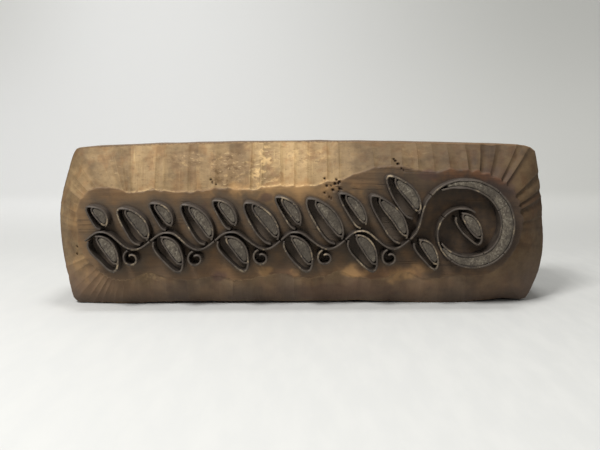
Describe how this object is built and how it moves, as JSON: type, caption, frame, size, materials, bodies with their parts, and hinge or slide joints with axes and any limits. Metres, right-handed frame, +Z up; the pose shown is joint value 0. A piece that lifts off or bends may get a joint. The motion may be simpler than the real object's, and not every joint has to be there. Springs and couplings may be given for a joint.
{
  "type": "textile printing block",
  "caption": "Wooden hand printing block with a pared edge and a raised vine and scroll of copper strips on edge, the thick parts packed with felt.",
  "frame": {"origin": "under the middle of the block, on the plane that it stands on", "axes": "+X along the block to the right of someone who faces the printing face, -Y the way the printing face looks, +Z up"},
  "size_m": [0.25, 0.066, 0.083],
  "materials": {
    "wood": "aged pearwood, hand carved, waxed by use and stained with dye",
    "copper": "dark brown patina, rubbed pale on the printing edges",
    "felt": "dense grey wool felt, stiff with old dye"
  },
  "bodies": {
    "root": {"wood_block": "wood", "vine_strip_1": "copper", "vine_strip_2": "copper", "vine_strip_3": "copper", "vine_strip_4": "copper", "vine_strip_5": "copper", "leaf_1_strip": "copper", "leaf_1_felt": "felt", "leaf_2_strip": "copper", "leaf_2_felt": "felt", "leaf_3_strip": "copper", "leaf_3_felt": "felt", "leaf_4_strip": "copper", "leaf_4_felt": "felt", "leaf_5_strip": "copper", "leaf_5_felt": "felt", "leaf_6_strip": "copper", "leaf_6_felt": "felt", "leaf_7_strip": "copper", "leaf_7_felt": "felt", "leaf_8_strip": "copper", "leaf_8_felt": "felt", "leaf_9_strip": "copper", "leaf_9_felt": "felt", "leaf_10_strip": "copper", "leaf_10_felt": "felt", "bud_1_strip": "copper", "bud_1_felt": "felt", "bud_2_strip": "copper", "bud_2_felt": "felt", "bud_3_strip": "copper", "bud_3_felt": "felt", "bud_4_strip": "copper", "bud_4_felt": "felt", "bud_5_strip": "copper", "bud_5_felt": "felt", "curl_1": "copper", "curl_2": "copper", "curl_3": "copper", "curl_4": "copper", "curl_5": "copper", "scroll_stem": "copper", "stem_leaf_strip": "copper", "stem_leaf_felt": "felt", "stem_bud_strip": "copper", "stem_bud_felt": "felt", "scroll_strip_1": "copper", "scroll_strip_2": "copper", "scroll_strip_3": "copper", "scroll_strip_4": "copper", "scroll_strip_5": "copper", "scroll_lining_1": "copper", "scroll_felt_1": "felt", "scroll_lining_2": "copper", "scroll_felt_2": "felt", "scroll_lining_3": "copper", "scroll_felt_3": "felt", "eye_leaf_strip": "copper", "eye_leaf_felt": "felt"}
  },
  "joints": []
}
